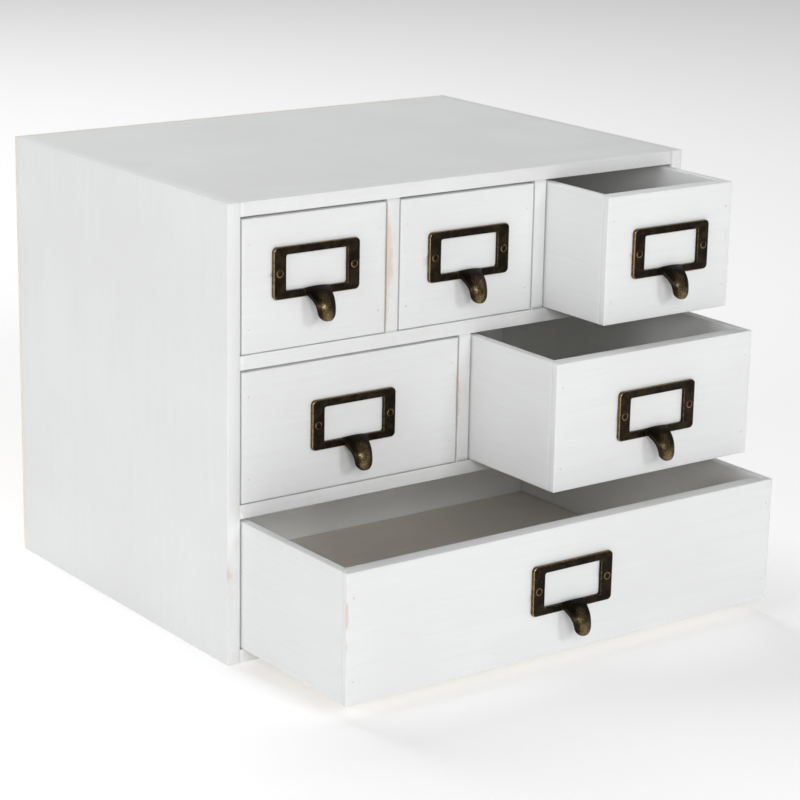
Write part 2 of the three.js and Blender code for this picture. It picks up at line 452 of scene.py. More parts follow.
def fade(distance: float, reach: float) -> float:
    """1 at no distance, falling evenly to 0 at the reach."""
    return max(0.0, 1 - abs(distance) / reach)


def held(value: float) -> float:
    """A number held between 0 and 1."""
    return max(0.0, min(1.0, value))


def along_axis(axis: int) -> Vector:
    """The unit vector along an axis."""
    return Vector([float(i == axis) for i in range(3)])


def write_numbers(mesh: bpy.types.Mesh, name: str, of: Callable[[Vector], float]) -> None:
    """Stores on each vertex, under a name, the number that a function gives for its place."""
    values = mesh.attributes.new(name, "FLOAT", "POINT")
    values.data.foreach_set("value", [of(v.co) for v in mesh.vertices])


def write_shift(mesh: bpy.types.Mesh, seed: int) -> None:
    """Stores one random offset on all vertices, so that no two pieces show the same stretch of pattern.

    Args:
        mesh: The mesh.
        seed: The offset's seed.
    """
    random = Random(seed)
    shift = [random.uniform(-4.0, 4.0) for _ in range(3)]
    values = mesh.attributes.new("shift", "FLOAT_VECTOR", "POINT")
    values.data.foreach_set("vector", shift * len(mesh.vertices))


def write_wear(mesh: bpy.types.Mesh, arris: float, rub: float, seed: int) -> None:
    """Gives a small painted piece even wear.

    Args:
        mesh: The mesh.
        arris: Distance to the nearest edge that the paint is told.
        rub: How rubbed it is.
        seed: Moves its pattern.
    """
    write_numbers(mesh, "arris", lambda _: arris)
    write_numbers(mesh, "rub", lambda _: rub)
    write_shift(mesh, seed)


def smooth(mesh: bpy.types.Mesh, angle: float = 35.0) -> None:
    """Shades a mesh smooth, with sharp edges where its faces meet at more than an angle in degrees."""
    mesh.shade_smooth()
    mesh.set_sharp_from_angle(angle=math.radians(angle))


def finish_piece(
    piece: bpy.types.Object, body: str, nodes: Sequence[str] = ()
) -> bpy.types.Object:
    """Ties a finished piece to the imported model.

    Args:
        piece: The piece, at the origin.
        body: The body that it rides on.
        nodes: The nodes that it stands for.

    Returns:
        The piece.
    """
    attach(piece, body)
    if nodes:
        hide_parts(*nodes)
    log.info("%s: %d faces on %s", piece.name, len(piece.data.polygons), body)
    return piece


# ---- Boards ----


@dataclass(frozen=True)
class Rub:
    """A stretch of edge that handling has rubbed.

    at: Its middle, as shares of the board's size from its lowest corner.
    reach: Half its size along each axis, in metres.
    """

    at: tuple[float, float, float]
    reach: tuple[float, float, float]
    strength: float = 0.5


@dataclass
class Board:
    """A sawn board with eased edges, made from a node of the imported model."""

    node: str
    body: str
    grain: Grain
    seed: int
    slot: Slot = Slot.PAINTED_WOOD
    ease: float = 0.5 * MM
    cut_spacing: float = 9 * MM
    edge_strip: float = 2.6 * MM
    smallest_cut: float = 12 * MM
    shortest_edge: float = 2.5 * MM
    wobble: float = 0.10 * MM
    worn_strip: float = 1.2 * MM
    rub_depth: float = 2.5
    rubs: tuple[Rub, ...] = ()
    glued_to: tuple[str, ...] = ()
    glue_line: float = 0.12 * MM

    def build(self, material: bpy.types.Material) -> bpy.types.Object:
        """Builds the board in a material, ties it to its body and returns it."""
        low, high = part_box(self.node)
        self._neighbours = [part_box(name) for name in self.glued_to]
        bm = bmesh.new()
        bm.from_mesh(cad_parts[self.node].data)
        bmesh.ops.remove_doubles(bm, verts=bm.verts, dist=0.002 * MM)
        bmesh.ops.dissolve_limit(bm, angle_limit=math.radians(1), verts=bm.verts, edges=bm.edges)
        self._ease_edges(bm)
        self._close_joints(bm, low, high)
        self._cut_grid(bm, low, high)
        self._wear_edges(bm, low, high)
        mesh = to_mesh(bm, f"{self.node}_board")
        for name in list(mesh.attributes.keys()):
            if name.startswith("UVMap"):
                mesh.attributes.remove(mesh.attributes[name])
        mesh.materials.clear()
        mesh.materials.append(material)
        write_numbers(mesh, "arris", lambda p: NO_WEAR if self._glued(p) else self._arris(p, low, high))
        write_numbers(mesh, "rub", lambda p: self._rub(p, low, high))
        write_shift(mesh, self.seed)
        smooth(mesh, 40.0)
        return finish_piece(new_object(f"{self.node}_board", mesh), self.body, [self.node])

    def _ease_edges(self, bm: bmesh.types.BMesh) -> None:
        """Rounds every long sharp edge that no neighbour is glued to."""
        sharp = [
            e for e in bm.edges
            if len(e.link_faces) == 2
            and e.calc_length() > self.shortest_edge
            and e.calc_face_angle() > math.radians(40)
            and not self._glued((e.verts[0].co + e.verts[1].co) / 2)
        ]
        bmesh.ops.bevel(
            bm, geom=sharp, offset=self.ease, segments=3, profile=0.5, affect="EDGES", clamp_overlap=True
        )

    def _glued(self, place: Vector) -> bool:
        """Whether a neighbouring board is glued on at a place."""
        gap = self.glue_line
        return any(
            all(low[i] - gap < place[i] < high[i] + gap for i in range(3)) for low, high in self._neighbours
        )

    def _close_joints(self, bm: bmesh.types.BMesh, low: Vector, high: Vector) -> None:
        """Draws out each end that is wholly glued to one neighbour, over the glue line."""
        for axis in range(3):
            others = [i for i in range(3) if i != axis]
            for other_low, other_high in self._neighbours:
                if any(low[i] < other_low[i] - TINY or high[i] > other_high[i] + TINY for i in others):
                    continue
                for end, face in ((high[axis], other_low[axis]), (low[axis], other_high[axis])):
                    if 0 < abs(face - end) < self.glue_line:
                        for v in bm.verts:
                            if abs(v.co[axis] - end) < TINY:
                                v.co[axis] = face

    def _cut_grid(self, bm: bmesh.types.BMesh, low: Vector, high: Vector) -> None:
        """Cuts the faces into a grid that is fine near the edges."""
        for axis in range(3):
            size = high[axis] - low[axis]
            if size < self.smallest_cut:
                continue
            steps = max(2, round(size / self.cut_spacing))
            places = [low[axis] + size * i / steps for i in range(1, steps)]
            places += [low[axis] + self.edge_strip, high[axis] - self.edge_strip]
            normal = along_axis(axis)
            for place in places:
                geometry = bm.verts[:] + bm.edges[:] + bm.faces[:]
                bmesh.ops.bisect_plane(bm, geom=geometry, plane_co=normal * place, plane_no=normal)

    def _wear_edges(self, bm: bmesh.types.BMesh, low: Vector, high: Vector) -> None:
        """Makes the eased edges slightly uneven."""
        middle = (low + high) / 2
        for v in bm.verts:
            if self._arris(v.co, low, high) < self.worn_strip and not self._glued(v.co):
                wave = noise.noise(v.co * 90 + Vector((self.seed, 0, 0)))
                fine = noise.noise(v.co * 400 + Vector((0, self.seed, 0)))
                depth = self.wobble * (0.6 * max(wave, 0) + 0.7 * max(fine, 0))
                depth *= 1 + self.rub_depth * min(1.0, self._rub(v.co, low, high))
                inward = Vector([math.copysign(1.0, middle[i] - v.co[i]) for i in range(3)])
                close = [min(v.co[i] - low[i], high[i] - v.co[i]) < self.worn_strip for i in range(3)]
                v.co += Vector([inward[i] * depth if close[i] else 0 for i in range(3)])

    @staticmethod
    def _arris(place: Vector, low: Vector, high: Vector) -> float:
        """Distance from a place on the surface to the nearest edge of the board."""
        return sorted(min(place[i] - low[i], high[i] - place[i]) for i in range(3))[1]

    def _rub(self, place: Vector, low: Vector, high: Vector) -> float:
        """How rubbed a place is, from 0."""
        total = 0.0
        for rub in self.rubs:
            middle = [low[i] + (high[i] - low[i]) * rub.at[i] for i in range(3)]
            far = math.sqrt(sum(((place[i] - middle[i]) / rub.reach[i]) ** 2 for i in range(3)))
            total += rub.strength * max(0.0, 1.0 - far * far)
        return total


# ---- Label holder with its finger pull ----


@dataclass
class FingerPull:
    """The finger pull: a crowned tongue that slopes out of the bottom rail and turns down to a round tip.

    Its line is a cubic curve that leaves the rail at the slope and ends straight down.
    """

    slope: float = math.radians(30)
    reach: float = 10.8 * MM
    fall: float = 17.4 * MM
    slope_handle: float = 10.5 * MM
    drop_handle: float = 9.5 * MM
    root_width: float = 16.2 * MM
    tip_width: float = 11 * MM
    root_thickness: float = 2.7 * MM
    tip_thickness: float = 1.3 * MM
    crown: float = 1.45 * MM
    columns: int = 37
    rows: int = 80
    tip_power: float = 1.15
    tip_roundness: float = 0.47
    dome_power: float = 1.1
    flat_root: float = 0.45
    flare_power: float = 1.6

    def sizes(self) -> dict[str, float]:
        """The tree's number inputs."""
        return {
            "Slope": self.slope,
            "Reach": self.reach,
            "Fall": self.fall,
            "Slope Handle": self.slope_handle,
            "Drop Handle": self.drop_handle,
            "Root Width": self.root_width,
            "Tip Width": self.tip_width,
            "Root Thickness": self.root_thickness,
            "Tip Thickness": self.tip_thickness,
            "Crown": self.crown,
        }

    def tree(self) -> bpy.types.NodeTree:
        """Builds the Geometry Nodes tree: a strip bent along the pull's line, crowned and thickened."""
        kinds = {name: "Float" for name in self.sizes()} | {"Material": "Material"}
        tree, s, given = new_tree("finger_pull", kinds)

        # A flat strip: u runs across from -1 to 1, w along from 0 to 1. Its tip is round in plan,
        # because its outer parts stop short.
        strip = {"Size X": 2.0, "Size Y": 1.0, "Vertices X": self.columns, "Vertices Y": self.rows}
        kept = s.add("GeometryNodeMeshGrid", strip).outputs["Mesh"]
        place = s.add("ShaderNodeSeparateXYZ", {0: s.add("GeometryNodeInputPosition").outputs[0]}).outputs
        u, w = Num(s, place["X"]), Num(s, place["Y"]) + 0.5
        u_squared = u * u
        inside = s.math("SQRT", s.math("MAXIMUM", 1.0 - u_squared**self.tip_power, 0.0))
        short = (1.0 - inside) * (given["Tip Width"] * self.tip_roundness)
        t = w * (1.0 - short / (given["Drop Handle"] * 3.0))

        # The curve from root to tip, in (out, down), and its direction.
        back = 1.0 - t
        late_end = [given["Reach"], given["Fall"]]
        early_handle = [given["Slope Handle"] * s.math(wave, given["Slope"]) for wave in ("COSINE", "SINE")]
        late_handle = [given["Reach"], given["Fall"] - given["Drop Handle"]]
        early, late, end = back * back * 3.0 * t, t * t * 3.0 * back, t * t * t
        line, speed = [], []
        for a, b, c in zip(early_handle, late_handle, late_end):
            line.append(early * a + late * b + end * c)
            speed.append(back * back * a + back * t * 2.0 * (b - a) + t * t * (c - b))
        angle = s.math("ARCTAN2", speed[1], speed[0])
        for name, value in (("along", w), ("angle", angle)):
            kept = s.add(
                "GeometryNodeStoreNamedAttribute", {"Geometry": kept, "Name": name, "Value": value},
                data_type="FLOAT", domain="POINT",
            ).outputs[0]

        # Across it: the taper and the crown.
        width = given["Tip Width"] + (given["Root Width"] - given["Tip Width"]) * back**self.flare_power
        dome = 1.0 - u_squared**self.dome_power
        crown = given["Crown"] * (1.0 - back * back * self.flat_root) * dome
        out = line[0] + crown * s.math("SINE", angle)
        down = line[1] - crown * s.math("COSINE", angle)
        bent_place = s.add("ShaderNodeCombineXYZ", {0: u * (width * 0.5), 1: out * -1.0, 2: down * -1.0})
        inputs = {"Geometry": kept, "Position": bent_place.outputs[0]}
        bent = s.add("GeometryNodeSetPosition", inputs).outputs[0]

        # Its thickness goes inwards, square to its line.
        along, angle = (
            Num(s, s.add("GeometryNodeInputNamedAttribute", {"Name": name}, data_type="FLOAT").outputs[0])
            for name in ("along", "angle")
        )
        fall = s.math("COSINE", angle) * -1.0
        inward = s.add("ShaderNodeCombineXYZ", {1: s.math("SINE", angle), 2: fall}).outputs[0]
        thinner = given["Tip Thickness"] - given["Root Thickness"]
        inputs = {
            "Mesh": bent,
            "Offset": inward,
            "Offset Scale": given["Root Thickness"] + along * thinner,
            "Individual": False,
        }
        thick = s.add("GeometryNodeExtrudeMesh", inputs, mode="FACES").outputs["Mesh"]
        whole = s.add("GeometryNodeJoinGeometry")
        tree.links.new(thick, whole.inputs[0])
        tree.links.new(s.add("GeometryNodeFlipFaces", {0: bent}).outputs[0], whole.inputs[0])
        merged = s.add("GeometryNodeMergeByDistance", {"Geometry": whole.outputs[0], "Distance": WELD})
        s.close(merged.outputs[0], given["Material"])
        return tree

    def build(self, material: bpy.types.Material) -> bpy.types.Mesh:
        """Builds the pull as a plain closed mesh with its root at the origin, in one material."""
        start = bpy.data.meshes.new("finger_pull")
        bm = bmesh.new()
        bm.from_mesh(grow(start, self.tree(), self.sizes() | {"Material": material}))
        bmesh.ops.remove_doubles(bm, verts=bm.verts, dist=WELD)
        bmesh.ops.recalc_face_normals(bm, faces=bm.faces)
        return to_mesh(bm, "finger_pull")


@dataclass
class LabelHolder:
    """A flat frame with rounded rims and a finger pull, cast in one piece."""

    width: float = 56.5 * MM
    height: float = 29 * MM
    thickness: float = 2.2 * MM
    corner: float = 2.8 * MM
    window_width: float = 40.2 * MM
    window_height: float = 20 * MM
    window_corner: float = 1.3 * MM
    rim: float = 0.75 * MM
    inner_rim: float = 0.45 * MM
    hole_inset: float = 3.9 * MM
    hole_radius: float = 2.36 * MM
    hole_depth: float = 1.35 * MM
    shank_radius: float = 1.2 * MM
    corner_turns: int = 8
    rim_turns: int = 6
    voxel: float = 0.24 * MM
    kept_share: float = 0.30
    pull_sink: float = 0.8 * MM
    pull_rise: float = 0.35 * MM
    pull: FingerPull = field(default_factory=FingerPull)

    def _ring(self, inset: float, depth: float, inner: bool = False) -> list[Vector]:
        """One outline of the frame as points, inset from its outer or window outline at a depth."""
        width = (self.window_width if inner else self.width) - 2 * inset
        height = (self.window_height if inner else self.height) - 2 * inset
        corner = max((self.window_corner if inner else self.corner) - inset, 0.05 * MM)
        points = []
        for quarter, (side, end) in enumerate(((1, 1), (-1, 1), (-1, -1), (1, -1))):
            for step in range(self.corner_turns + 1):
                angle = math.pi / 2 * (quarter + step / self.corner_turns)
                x = side * (width / 2 - corner) + corner * math.cos(angle)
                z = end * (height / 2 - corner) + corner * math.sin(angle)
                points.append(Vector((x, -depth, z)))
        return points

    def _frame(self) -> bmesh.types.BMesh:
        """The frame as rings round its section: outer wall, rounded rim, face, inner rim, window wall."""
        rings = [self._ring(0.0, 0.0)]
        angles = [math.pi / 2 * step / self.rim_turns for step in range(self.rim_turns + 1)]
        for inner, side, rim in ((False, 1, self.rim), (True, -1, self.inner_rim)):
            for angle in angles[::side]:
                inset = side * rim * (1 - math.cos(angle))
                rings.append(self._ring(inset, self.thickness - rim * (1 - math.sin(angle)), inner))
        rings.append(self._ring(0.0, 0.0, inner=True))
        bm = bmesh.new()
        rows = [[bm.verts.new(p) for p in ring] for ring in rings]
        bridge(bm, rows + rows[:1])
        bmesh.ops.recalc_face_normals(bm, faces=bm.faces)
        return bm

    def _cone(self, x: float) -> bmesh.types.BMesh:
        """A screw's hole: its countersink and the way for its shank."""
        bm = bmesh.new()
        face = -self.thickness
        bmesh.ops.create_cone(
            bm, cap_ends=True, segments=40, radius1=self.shank_radius, radius2=self.hole_radius,
            depth=self.hole_depth, matrix=Matrix.Translation((x, face + self.hole_depth / 2, 0))
            @ Matrix.Rotation(math.radians(90), 4, "X"),
        )
        return bm

    def build(self, material: bpy.types.Material) -> bpy.types.Mesh:
        """Builds the casting once, with the middle of its frame's back at the origin."""
        body = new_object("holder_frame", to_mesh(self._frame(), "holder_frame"))
        pull = new_object("holder_pull", self.pull.build(material))
        root = Vector((0, -self.thickness + self.pull_sink, -self.window_height / 2 + self.pull_rise))
        pull.data.transform(Matrix.Translation(root))
        joined = body.modifiers.new("pull", "BOOLEAN")
        joined.operation, joined.solver, joined.object = "UNION", "EXACT", pull
        even = body.modifiers.new("cast", "REMESH")
        even.mode, even.voxel_size, even.adaptivity = "VOXEL", self.voxel, 0.0
        soften = body.modifiers.new("soften", "SMOOTH")
        soften.factor, soften.iterations = 0.5, 4
        fewer = body.modifiers.new("fewer", "DECIMATE")
        fewer.ratio = self.kept_share
        body.data = evaluated(body)
        body.modifiers.clear()
        bpy.data.objects.remove(pull)
        for x in (-1, 1):
            cone = self._cone(x * (self.width / 2 - self.hole_inset))
            carve(body, new_object("holder_hole", to_mesh(cone, "hole")))
        mesh = body.data
        bpy.data.objects.remove(body)
        mesh.materials.clear()
        mesh.materials.append(material)
        write_numbers(mesh, "rub", self._rub)
        smooth(mesh, 42.0)
        return mesh

    def _rub(self, p: Vector) -> float:
        """How far handling has rubbed a place on the casting, from 0 to 1."""
        dx = abs(p.x) - (self.width / 2 - self.corner)
        dz = abs(p.z) - (self.height / 2 - self.corner)
        beyond = math.hypot(max(dx, 0), max(dz, 0)) + min(max(dx, dz), 0) - self.corner
        out = -p.y
        front = held((out - 0.9 * MM) / (0.7 * MM)) if out <= self.thickness + 0.25 * MM else 0.0
        rim = front * fade(beyond + 0.25 * MM, 0.65 * MM)
        wall = 0.45 * fade(beyond, 0.3 * MM) if out < self.thickness else 0.0
        from_window = max(abs(p.x) - self.window_width / 2, abs(p.z) - self.window_height / 2)
        window = 0.5 * front * fade(from_window - 0.15 * MM, 0.5 * MM)
        proud = held((out - 2.0 * MM) / (7.0 * MM))
        crest = max(0.0, 1 - (p.x / (5.0 * MM)) ** 2)
        return max(0.72 * rim, wall, window, proud * (0.22 + 0.30 * crest))

    def place(self, mesh: bpy.types.Mesh, node: str, body: str, seed: int) -> bpy.types.Object:
        """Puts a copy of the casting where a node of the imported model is.

        Args:
            mesh: The casting.
            node: The label holder's node.
            body: The body that it rides on.
            seed: Moves the pattern of its finish.

        Returns:
            The finished piece.
        """
        low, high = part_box(node)
        copy = mesh.copy()
        middle = Vector(((low.x + high.x) / 2, high.y, high.z - self.height / 2))
        copy.transform(Matrix.Translation(middle))
        write_shift(copy, seed)
        piece = new_object(f"{node}_casting", copy)
        return finish_piece(piece, body, [node])


# ---- Fasteners ----


@dataclass(frozen=True)
class Spot:
    """Where a fastener goes, and which way its head faces."""

    place: Vector
    facing: Vector


@dataclass
class FastenerSet:
    """Copies of one fastener, set at many spots by Geometry Nodes."""

    seed: int = 7
    spread: float = 0.08
    turn: float = math.tau

    def tree(self) -> bpy.types.NodeTree:
        """Builds the tree: instances on points, turned to face out, spun and scaled a little."""
        kinds = {
            "Geometry": "Geometry",
            "Fastener": "Object",
            "Material": "Material",
            "Spread": "Float",
            "Turn": "Float",
            "Seed": "Int",
        }
        tree, s, given = new_tree("set_fasteners", kinds)
        facing = s.add("GeometryNodeInputNamedAttribute", {"Name": "facing"}, data_type="FLOAT_VECTOR")
        aim = s.add("FunctionNodeAlignRotationToVector", {"Vector": facing.outputs[0]}, axis="Z")
        inputs = {"Seed": given["Seed"], 3: given["Turn"]}
        spin = s.add("FunctionNodeRandomValue", inputs, data_type="FLOAT")
        around = s.add("FunctionNodeAxisAngleToRotation", {"Angle": spin.outputs[1]})
        inputs = {0: aim.outputs[0], 1: around.outputs[0]}
        turned = s.add("FunctionNodeRotateRotation", inputs, rotation_space="LOCAL")
        inputs = {2: 1.0 - given["Spread"], 3: given["Spread"] + 1.0, "Seed": given["Seed"] + 1}
        size = s.add("FunctionNodeRandomValue", inputs, data_type="FLOAT")
        inputs = {
            "Points": given["Geometry"],
            "Instance": s.add("GeometryNodeObjectInfo", {"Object": given["Fastener"]}).outputs["Geometry"],
            "Rotation": turned.outputs[0],
            "Scale": size.outputs[1],
        }
        copies = s.add("GeometryNodeInstanceOnPoints", inputs)
        s.close(copies.outputs[0], given["Material"])
        return tree

    def build(
        self,
        name: str,
        fastener: bpy.types.Object,
        spots: Sequence[Spot],
        material: bpy.types.Material,
        tree: bpy.types.NodeTree,
    ) -> bpy.types.Object:
        """Sets a fastener at each spot and turns the result into one plain mesh.

        Args:
            name: The piece's name.
            fastener: One fastener, with its head towards +Z and its seat at the origin.
            spots: Where they go.
            material: Their finish.
            tree: The tree that tree() made.

        Returns:
            The piece, not yet tied to a body.
        """
        points = bpy.data.meshes.new(f"{name}_points")
        points.from_pydata([spot.place for spot in spots], [], [])
        facing = points.attributes.new("facing", "FLOAT_VECTOR", "POINT")
        facing.data.foreach_set("vector", [x for spot in spots for x in spot.facing])
        given = {"Fastener": fastener, "Material": material}
        given |= {"Spread": self.spread, "Turn": self.turn, "Seed": self.seed}
        mesh = grow(points, tree, given)
        mesh.name = name
        return new_object(name, mesh)


@dataclass
class Screw:
    """A countersunk screw with a slightly domed head and a cross recess."""

    head_radius: float = 2.25 * MM
    head_height: float = 1.3 * MM
    shank_radius: float = 1.05 * MM
    length: float = 9 * MM
    point: float = 1.6 * MM
    dome: float = 0.32 * MM
    recess: float = 3.1 * MM
    recess_width: float = 0.9 * MM
    recess_depth: float = 1.15 * MM
    segments: int = 40

    def _profile(self) -> list[tuple[float, float]]:
        """Radius and height from the middle of the head to the point."""
        rise = [(self.head_radius * i / 6, self.dome * (1 - (i / 6) ** 2)) for i in range(1, 6)]
        rim = [
            (self.head_radius * 0.985, 0.03 * MM),
            (self.head_radius, -0.08 * MM),
            (self.head_radius * 0.985, -0.18 * MM),
        ]
        tail = [
            (self.shank_radius, -self.head_height),
            (self.shank_radius, -self.length + self.point),
        ]
        return rise + rim + tail

    def build(self) -> bpy.types.Object:
        """Builds one screw with its head towards +Z and the rim of its head at the origin."""
        bm = bmesh.new()
        rows = turned_rings(bm, self._profile(), self.segments)
        top = bm.verts.new((0, 0, self.dome))
        tip = bm.verts.new((0, 0, -self.length))
        for i in range(self.segments):
            j = (i + 1) % self.segments
            bm.faces.new((top, rows[0][i], rows[0][j]))
            bm.faces.new((tip, rows[-1][j], rows[-1][i]))
        bmesh.ops.recalc_face_normals(bm, faces=bm.faces)
        screw = new_object("screw", to_mesh(bm, "screw"))
        for turn in (0, 90):
            carve(screw, self._wing(turn))
        write_numbers(screw.data, "rub", self._rub)
        smooth(screw.data, 32.0)
        return screw

    def _wing(self, turn: float) -> bpy.types.Object:
        """One wing of the recess: a blade that tapers as it goes in."""
        bm = bmesh.new()
        bmesh.ops.create_cube(bm, size=1.0)
        for v in bm.verts:
            deep = v.co.z < 0
            taper = 0.45 if deep else 1.0
            v.co.x *= self.recess * taper
            v.co.y *= self.recess_width * (0.8 if deep else 1.0)
            v.co.z = self.dome - self.recess_depth if deep else self.dome + 0.5 * MM
        bm.transform(Matrix.Rotation(math.radians(turn), 4, "Z"))
        return new_object("recess_wing", to_mesh(bm, "recess_wing"))

    def _rub(self, p: Vector) -> float:
        """The head is rubbed, most at its rim, and the recess keeps its dark skin."""
        rim = fade(math.hypot(p.x, p.y) - self.head_radius * 0.93, 0.6 * MM)
        return 0.33 + 0.5 * rim if p.z > -0.1 * MM else 0.0


@dataclass
class Brad:
    """The head of a small brad, set just under the paint: a shallow dimple with a raised lip."""

    radius: float = 0.85 * MM
    lip: float = 0.10 * MM
    dimple: float = 0.12 * MM
    depth: float = 0.6 * MM
    segments: int = 20

    def build(self) -> bpy.types.Object:
        """Builds one brad head with its top towards +Z and the board's face at the origin."""
        profile = [
            (self.radius * 0.35, -self.dimple),
            (self.radius * 0.62, -self.dimple * 0.4),
            (self.radius * 0.80, self.lip),
            (self.radius * 1.0, self.lip * 0.5),
            (self.radius * 1.12, -0.01 * MM),
            (self.radius * 1.05, -self.depth),
        ]
        bm = bmesh.new()
        rows = turned_rings(bm, profile, self.segments)
        bm.faces.new(rows[0])
        bm.faces.new(rows[-1])
        bmesh.ops.recalc_face_normals(bm, faces=bm.faces)
        brad = new_object("brad", to_mesh(bm, "brad"))
        smooth(brad.data, 60.0)
        return brad


# ---- Sub-assemblies ----


@dataclass
class Workshop:
    """What the sub-assemblies share: finishes, one casting, one screw, one brad, one pin and the trees."""

    finishes: Finishes
    holder: LabelHolder
    casting: bpy.types.Mesh
    screw: bpy.types.Object
    brad: bpy.types.Object
    pin: bpy.types.Object
    set_tree: bpy.types.NodeTree

    def close(self) -> None:
        """Removes the patterns that the copies were made from."""
        for pattern in (self.screw, self.brad, self.pin):
            bpy.data.objects.remove(pattern)


def open_workshop() -> Workshop:
    """Makes what the sub-assemblies share."""
    finishes = Finishes().make()
    holder = LabelHolder()
    return Workshop(
        finishes=finishes,
        holder=holder,
        casting=holder.build(finishes.brass),
        screw=Screw().build(),
        brad=Brad().build(),
        pin=Brad(radius=0.5 * MM, lip=0.05 * MM, dimple=-0.06 * MM, segments=12).build(),
        set_tree=FastenerSet().tree(),
    )


def evenly(first: float, last: float, count: int) -> list[float]:
    """The given count of evenly spaced numbers from first to last."""
    return [first + (last - first) * i / (count - 1) for i in range(count)]


@dataclass
class Carcass:
    """The box that the drawers run in: sides, top, bottom, shelves, dividers and a nailed-on back."""

    body: str = "carcass"
    upright: tuple[str, ...] = (
        "side_left", "side_right", "divider_upper_left", "divider_upper_right", "divider_middle",
    )
    level: tuple[str, ...] = ("top_panel", "bottom_panel", "shelf_upper", "shelf_lower")
    back: str = "back_panel"
    ease: float = 0.35 * MM
    nail_inset: float = 4 * MM
    nails_across: int = 6
    nails_up: int = 5

    def build(self, shop: Workshop) -> None:
        """Builds every board of the carcass and the brads in its back."""
        seed = 11
        for node in self.upright:
            seed += 1
            rubs = self._rubs(node)
            board = Board(
                node, self.body, Grain.Z, seed, ease=self.ease, rubs=rubs, glued_to=self._others(node)
            )
            board.build(shop.finishes.wood[Grain.Z])
        for node in self.level:
            seed += 1
            board = Board(node, self.body, Grain.X, seed, ease=self.ease, glued_to=self._others(node))
            board.build(shop.finishes.wood[Grain.X])
        back = Board(self.back, self.body, Grain.X, 31, slot=Slot.PLYWOOD, ease=0.25 * MM)
        back.build(shop.finishes.ply)
        nails = FastenerSet(seed=5).build(
            "back_brads", shop.brad, self._back_spots(), shop.finishes.ply, shop.set_tree
        )
        write_wear(nails.data, 1.0, 0.0, HEAD_PATTERN)
        finish_piece(nails, self.body)

    def _others(self, node: str) -> tuple[str, ...]:
        """The boards that a board is glued to."""
        return tuple(name for name in self.upright + self.level if name != node)

    @staticmethod
    def _rubs(node: str) -> tuple[Rub, ...]:
        """Where a board of the carcass is worn."""
        if node == "side_left":
            small = (4 * MM, 4 * MM, 5 * MM)
            return (
                Rub((0.0, 0.0, 0.215), small, 0.5),
                Rub((0.0, 0.0, 0.16), small, 0.3),
                Rub((1.0, 0.0, 0.36), (3 * MM, 3 * MM, 6 * MM), 0.4),
            )
        if node == "divider_upper_left":
            return (Rub((0.0, 0.0, 0.5), (1.0 * MM, 7 * MM, 44 * MM), 0.62),)
        if node == "divider_middle":
            return (Rub((0.0, 0.0, 0.45), (0.8 * MM, 6 * MM, 38 * MM), 0.4),)
        return ()

    def _back_spots(self) -> list[Spot]:
        """Brads round the edge of the back panel and along both shelves."""
        low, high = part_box(self.back)
        out = Vector((0, 1, 0))
        y = high.y
        left, right = low.x + self.nail_inset, high.x - self.nail_inset
        down, up = low.z + self.nail_inset, high.z - self.nail_inset
        rows = [down, up]
        for shelf in ("shelf_lower", "shelf_upper"):
            under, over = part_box(shelf)
            rows.append((under.z + over.z) / 2)
        spots = [
            Spot(Vector((x, y, z)), out) for z in rows for x in evenly(left, right, self.nails_across)
        ]
        for x in (left, right):
            spots += [Spot(Vector((x, y, z)), out) for z in evenly(down, up, self.nails_up)[1:-1]]
        return spots


